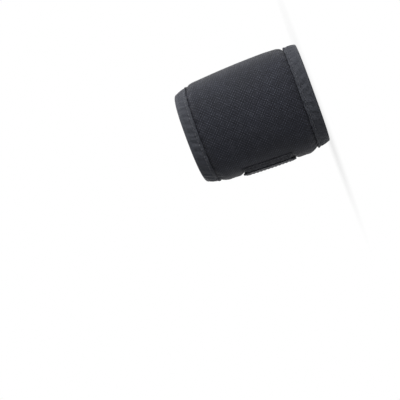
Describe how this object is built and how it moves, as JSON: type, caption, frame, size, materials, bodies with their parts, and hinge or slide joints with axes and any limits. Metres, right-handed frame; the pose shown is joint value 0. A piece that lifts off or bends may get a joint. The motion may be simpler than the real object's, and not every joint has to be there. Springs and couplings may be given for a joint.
{
  "type": "magnetic wristband",
  "caption": "Padded fabric cuff with disc magnets behind its outer face, bound edges and a hook-and-loop closing strap; keeps screws, bits and small steel tools at hand on the wearer.",
  "frame": {"origin": "centre of the bounding box's footprint, on the plane of the wide edge that the ring stands on", "axes": "+Z along the axis of the ring from its wide edge to its narrow edge, -Y out of the magnet face, -X towards the side where the strap closes"},
  "size_m": [0.082, 0.0888, 0.095],
  "materials": {
    "shell_fabric": "charcoal plain-woven ballistic fabric, matt",
    "binding_tape": "charcoal ribbed binding tape, slight sheen",
    "lining_mesh": "black open air mesh",
    "padding_foam": "dark grey soft foam",
    "carrier_foam": "black firm foam sheet",
    "magnet_nickel": "nickel-plated",
    "strap_webbing": "charcoal flat webbing",
    "hook_tape": "black moulded hooks",
    "loop_tape": "black brushed loops"
  },
  "bodies": {
    "front": {"front_shell": "shell_fabric", "front_lining": "lining_mesh", "front_padding": "padding_foam", "front_wide_binding": "binding_tape", "front_narrow_binding": "binding_tape", "front_magnet_carrier": "carrier_foam", "magnet_2_1": "magnet_nickel", "magnet_2_2": "magnet_nickel", "magnet_2_3": "magnet_nickel", "magnet_3_1": "magnet_nickel", "magnet_3_2": "magnet_nickel", "magnet_3_3": "magnet_nickel", "magnet_4_1": "magnet_nickel", "magnet_4_2": "magnet_nickel", "magnet_4_3": "magnet_nickel"},
    "lower": {"lower_shell": "shell_fabric", "lower_lining": "lining_mesh", "lower_padding": "padding_foam", "lower_binding": "binding_tape", "lower_magnet_carrier": "carrier_foam", "magnet_1_1": "magnet_nickel", "magnet_1_2": "magnet_nickel", "magnet_1_3": "magnet_nickel", "loop_patch": "loop_tape"},
    "upper": {"upper_shell": "shell_fabric", "upper_lining": "lining_mesh", "upper_padding": "padding_foam", "upper_wide_binding": "binding_tape", "upper_narrow_binding": "binding_tape", "upper_magnet_carrier": "carrier_foam", "magnet_5_1": "magnet_nickel", "magnet_5_2": "magnet_nickel", "magnet_5_3": "magnet_nickel"},
    "rear": {"rear_shell": "shell_fabric", "rear_lining": "lining_mesh", "rear_padding": "padding_foam", "rear_wide_binding": "binding_tape", "rear_narrow_binding": "binding_tape"},
    "back": {"back_shell": "shell_fabric", "back_lining": "lining_mesh", "back_padding": "padding_foam", "back_binding": "binding_tape", "strap_root": "strap_webbing"},
    "strap": {"strap_web": "strap_webbing", "hook_patch": "hook_tape"}
  },
  "joints": [
    {"name": "back_flex", "type": "hinge", "parent": "rear", "child": "back", "pos_m": [0.00832, 0.04339, 0.0475], "axis": [0, 0, -1], "range_deg": [0, 70]},
    {"name": "rear_flex", "type": "hinge", "parent": "upper", "child": "rear", "pos_m": [0.04038, 0.01331, 0.0475], "axis": [0, 0, -1], "range_deg": [0, 49]},
    {"name": "upper_flex", "type": "hinge", "parent": "front", "child": "upper", "pos_m": [0.03016, -0.03503, 0.0475], "axis": [0, 0, -1], "range_deg": [0, 42]},
    {"name": "lower_flex", "type": "hinge", "parent": "front", "child": "lower", "pos_m": [-0.02677, -0.03503, 0.0475], "axis": [0, 0, 1], "range_deg": [0, 28]},
    {"name": "strap_peel", "type": "hinge", "parent": "back", "child": "strap", "pos_m": [-0.02705, 0.03126, 0.0475], "axis": [0, 0, -1], "range_deg": [0, 110]}
  ],
  "couplings": [
    {"joint": "rear_flex", "follows": "back_flex", "ratio": 0.7},
    {"joint": "upper_flex", "follows": "back_flex", "ratio": 0.6},
    {"joint": "lower_flex", "follows": "back_flex", "ratio": 0.4}
  ]
}
